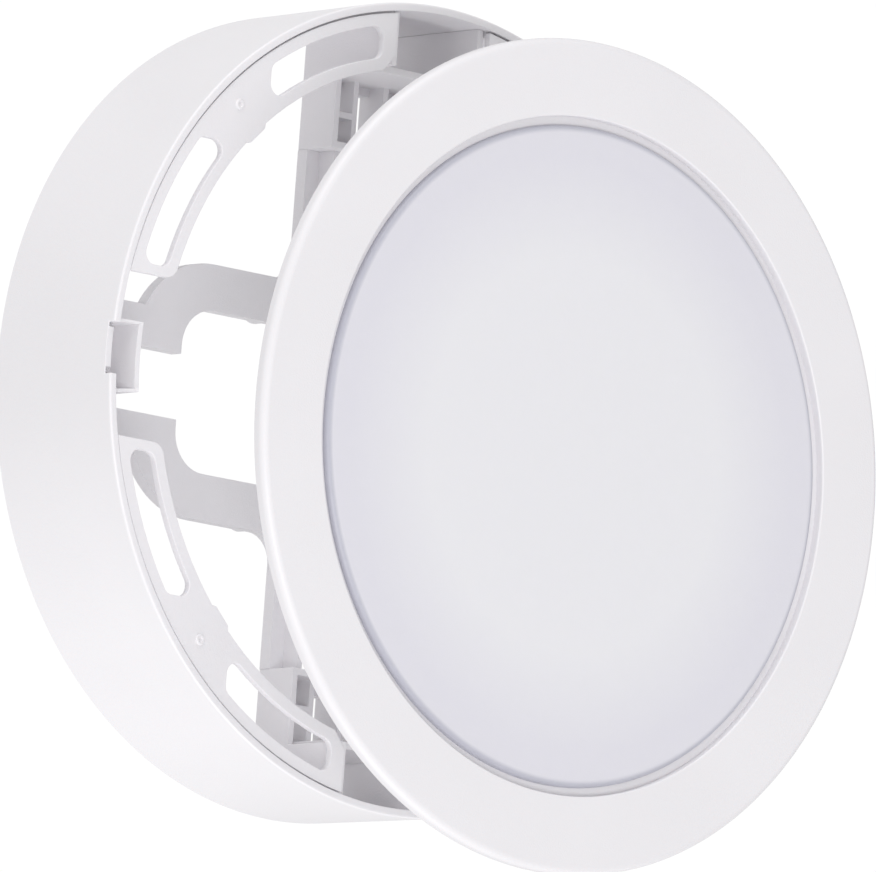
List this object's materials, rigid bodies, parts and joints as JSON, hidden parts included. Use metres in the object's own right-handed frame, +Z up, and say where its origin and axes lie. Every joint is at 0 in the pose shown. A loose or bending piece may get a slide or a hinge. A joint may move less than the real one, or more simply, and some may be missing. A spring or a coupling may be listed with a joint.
{
  "type": "soffit downlight",
  "caption": "Slim round surface downlight: an opal panel with a driver and two spring clips, drawn down out of its white mounting ring with a four-hole frame.",
  "frame": {"origin": "centre of the ring at the ceiling, the middle of the four ceiling screws", "axes": "+Z up into the ceiling, the light shines towards -Z, +X towards the pry notch, the spring clips at +Y and -Y"},
  "size_m": [0.1724, 0.1834, 0.0857],
  "materials": {
    "ring_white": "moulded, fine matt",
    "trim_white": "moulded, fine matt",
    "opal": "opal, satin",
    "clear_acrylic": "clear, polished",
    "film_white": "white film",
    "foam_white": "closed-cell foam",
    "strip_white": "white solder mask",
    "led_yellow": "phosphor",
    "back_metal": "powder coat",
    "screw_steel": "zinc plated",
    "seal_rubber": "soft",
    "driver_plastic": "moulded",
    "board_green": "solder mask",
    "ferrite": "ferrite and tape",
    "can_black": "sleeve film",
    "terminal_grey": "moulded",
    "gland_white": "moulded",
    "gland_rubber": "soft",
    "bracket_steel": "zinc plated",
    "spring_steel": "spring wire",
    "grip_white": "tube"
  },
  "bodies": {
    "ring": {"outer_sleeve": "ring_white", "front_flange": "ring_white", "rear_frame": "ring_white", "spring_receiver_top": "ring_white", "spring_receiver_bottom": "ring_white"},
    "panel": {"trim_frame": "trim_white", "diffuser": "opal", "light_guide": "clear_acrylic", "reflector_sheet": "film_white", "foam_pad": "foam_white", "led_board": "strip_white", "led_chips": "led_yellow", "back_plate": "back_metal", "back_screws": "screw_steel", "driver_screws": "screw_steel", "bracket_screws": "screw_steel", "terminal_screws": "screw_steel", "seal_ring": "seal_rubber", "driver_case": "driver_plastic", "driver_lid": "driver_plastic", "driver_board": "board_green", "transformer": "ferrite", "choke": "ferrite", "capacitors": "can_black", "terminal_block": "terminal_grey", "gland_body": "gland_white", "gland_nut": "gland_white", "gland_seal": "gland_rubber", "clip_bracket_top": "bracket_steel", "clip_bracket_bottom": "bracket_steel", "clip_pin_top": "bracket_steel", "clip_pin_bottom": "bracket_steel"},
    "clip_top": {"clip_leg_top": "spring_steel", "clip_grip_top": "grip_white", "clip_coil_top": "spring_steel"},
    "clip_bottom": {"clip_leg_bottom": "spring_steel", "clip_grip_bottom": "grip_white", "clip_coil_bottom": "spring_steel"}
  },
  "joints": [
    {"name": "panel_slide", "type": "slide", "parent": "ring", "child": "panel", "axis": [0, 0.2579, 0.9662], "range_m": [0, 0.0473]},
    {"name": "clip_top_hinge", "type": "hinge", "parent": "panel", "child": "clip_top", "pos_m": [0, 0.0669, -0.07875], "axis": [-1, 0, 0], "range_deg": [0, 12], "stiffness_Nm_per_rad": 0.05},
    {"name": "clip_bottom_hinge", "type": "hinge", "parent": "panel", "child": "clip_bottom", "pos_m": [0, -0.0913, -0.07875], "axis": [1, 0, 0], "range_deg": [0, 12], "stiffness_Nm_per_rad": 0.05}
  ]
}
